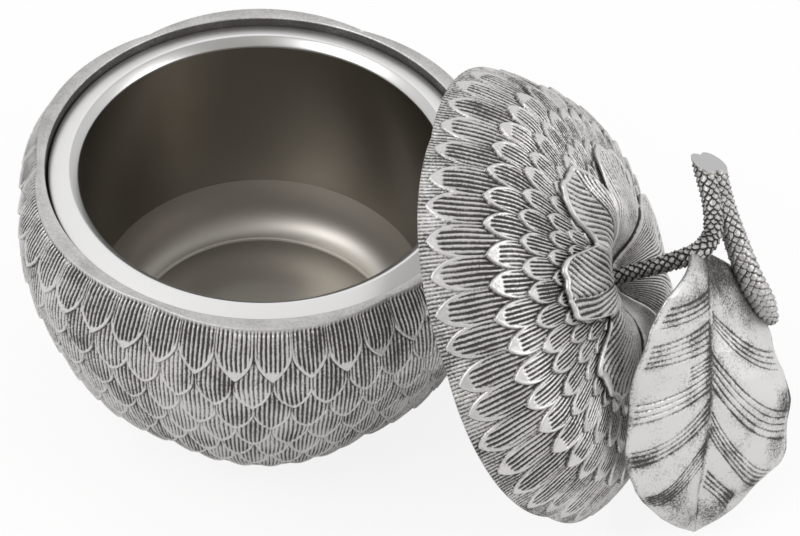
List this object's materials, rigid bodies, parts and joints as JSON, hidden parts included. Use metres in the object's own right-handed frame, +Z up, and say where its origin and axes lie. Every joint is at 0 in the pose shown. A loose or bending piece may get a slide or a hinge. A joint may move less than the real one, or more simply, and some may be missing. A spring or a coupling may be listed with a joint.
{
  "type": "lidded pot",
  "caption": "Lobed apple-shaped cast metal pot with a double-walled steel insert and a lift-off lid whose handle is a twig with a leaf.",
  "frame": {"origin": "centre of the pad under the pot's foot, on the surface that it stands on", "axes": "+Z up along the pot's axis; the lid leans off towards +X; the picture looks along +Y"},
  "size_m": [0.305, 0.2306, 0.1574],
  "materials": {
    "cast_metal": "cast, antiqued: bright worn ridges, dark patina in the grooves",
    "twig_metal": "cast bark scales with a heavy dark patina, polished cut end",
    "leaf_metal": "cast, brushed bright between engraved dark veins",
    "steel": "spun, polished",
    "fastener_steel": "plain turned",
    "felt": "pressed wool felt"
  },
  "bodies": {
    "pot": {"pot_shell": "cast_metal", "base_pad": "felt"},
    "liner": {"liner_bowl": "steel", "liner_jacket": "steel"},
    "lid": {"lid_shell": "cast_metal", "lid_inner_pan": "steel", "calyx": "cast_metal", "twig_handle": "twig_metal", "leaf": "leaf_metal", "handle_washer": "fastener_steel", "handle_screw": "fastener_steel"}
  },
  "joints": [
    {"name": "lid_lift", "type": "slide", "parent": "pot", "child": "lid", "axis": [0.841, -0.2206, 0.4939], "range_m": [0, 0.15]},
    {"name": "liner_lift", "type": "slide", "parent": "pot", "child": "liner", "axis": [0, 0, 1], "range_m": [0, 0.105]}
  ],
  "couplings": [
    {"joint": "liner_lift", "follows": "lid_lift", "ratio": 0.7}
  ]
}
